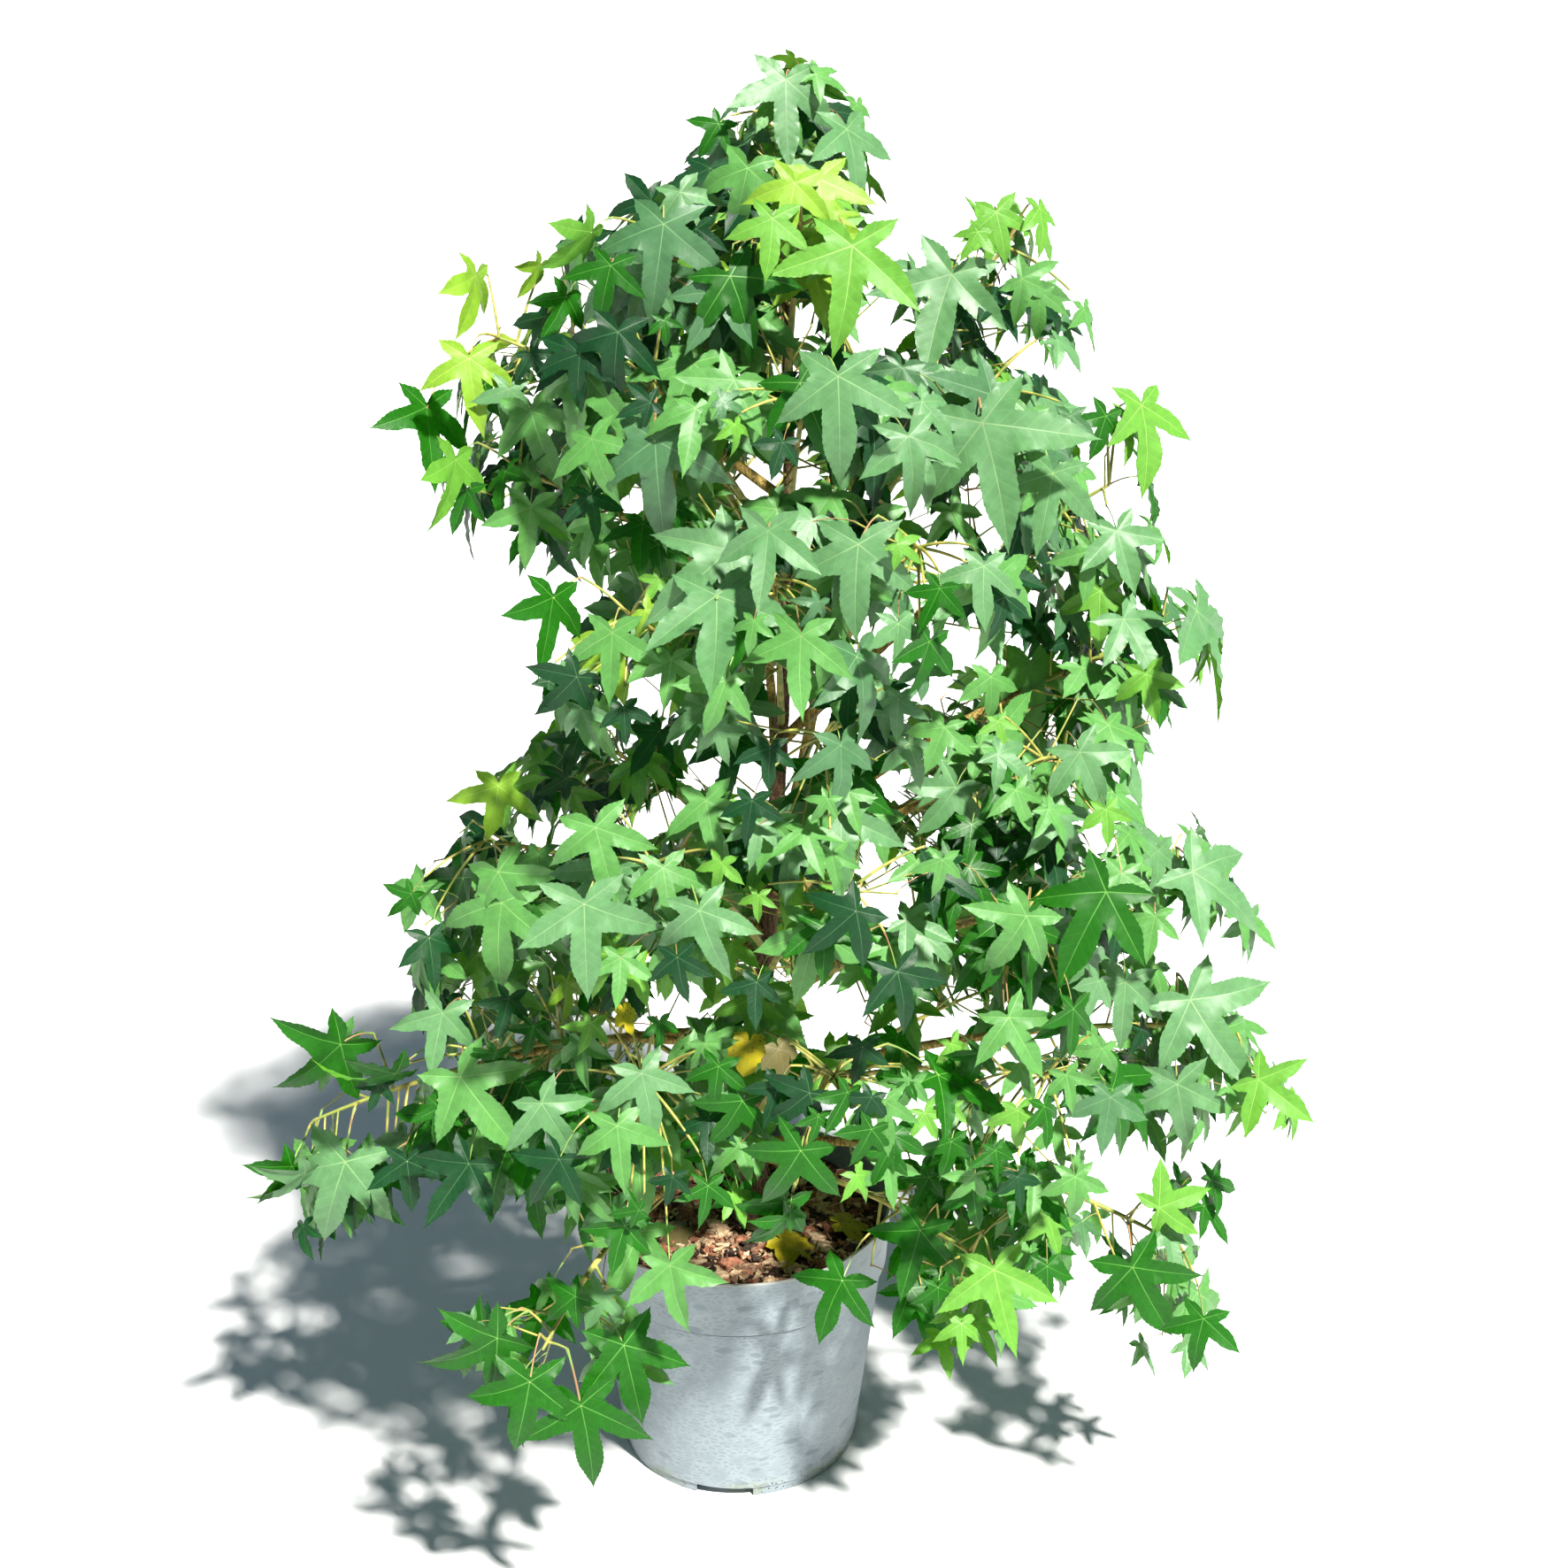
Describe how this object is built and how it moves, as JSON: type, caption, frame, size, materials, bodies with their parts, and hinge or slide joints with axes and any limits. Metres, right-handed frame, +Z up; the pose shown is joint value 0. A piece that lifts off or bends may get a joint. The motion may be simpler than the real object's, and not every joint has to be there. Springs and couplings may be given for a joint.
{
  "type": "potted sweetgum tree",
  "caption": "Young leafy tree with star-shaped leaves on spreading boughs, growing in a round tapered nursery pot filled with bark mulch.",
  "frame": {"origin": "middle of the pot's underside, where the pot stands on the ground", "axes": "+Z up along the pot's axis, -Y towards the front of the plant, +X to its right seen from the front"},
  "size_m": [0.9389, 0.7614, 1.2611],
  "materials": {
    "pot_plastic": "satin",
    "bark_mulch": "matte",
    "bark": "matte",
    "foliage": "satin"
  },
  "bodies": {
    "root": {"bough_back_low_left": "bark", "bough_back_low_right": "bark", "bough_back_middle": "bark", "bough_left_drooper": "bark", "bough_left_far_low": "bark", "bough_left_low": "bark", "bough_left_lower": "bark", "bough_left_shoulder": "bark", "bough_right_far": "bark", "bough_right_far_low": "bark", "bough_right_high": "bark", "bough_right_low": "bark", "bough_right_mid": "bark", "bough_right_tip_low": "bark", "bough_upper_left": "bark", "bough_upper_right": "bark", "foliage_back_base": "foliage", "foliage_back_base_left": "foliage", "foliage_back_base_right": "foliage", "foliage_back_low_left": "foliage", "foliage_back_low_right": "foliage", "foliage_back_middle": "foliage", "foliage_back_top": "foliage", "foliage_back_upper_left": "foliage", "foliage_back_upper_right": "foliage", "foliage_front_base": "foliage", "foliage_front_base_left": "foliage", "foliage_front_low": "foliage", "foliage_front_low_left": "foliage", "foliage_front_mid": "foliage", "foliage_front_mid_left": "foliage", "foliage_front_mid_right": "foliage", "foliage_front_upper": "foliage", "foliage_front_waist": "foliage", "foliage_left_drooper": "foliage", "foliage_left_far_low": "foliage", "foliage_left_front_upper": "foliage", "foliage_left_low": "foliage", "foliage_left_lower": "foliage", "foliage_left_shoulder": "foliage", "foliage_left_waist": "foliage", "foliage_right_base": "foliage", "foliage_right_far": "foliage", "foliage_right_far_low": "foliage", "foliage_right_high": "foliage", "foliage_right_low": "foliage", "foliage_right_low_front": "foliage", "foliage_right_lower": "foliage", "foliage_right_mid": "foliage", "foliage_right_shoulder": "foliage", "foliage_right_tip_low": "foliage", "foliage_top": "foliage", "foliage_upper_front": "foliage", "foliage_upper_left": "foliage", "foliage_upper_left_front": "foliage", "foliage_upper_right": "foliage", "leader": "bark", "mulch": "bark_mulch", "pot": "pot_plastic", "trunk": "bark"}
  },
  "joints": []
}
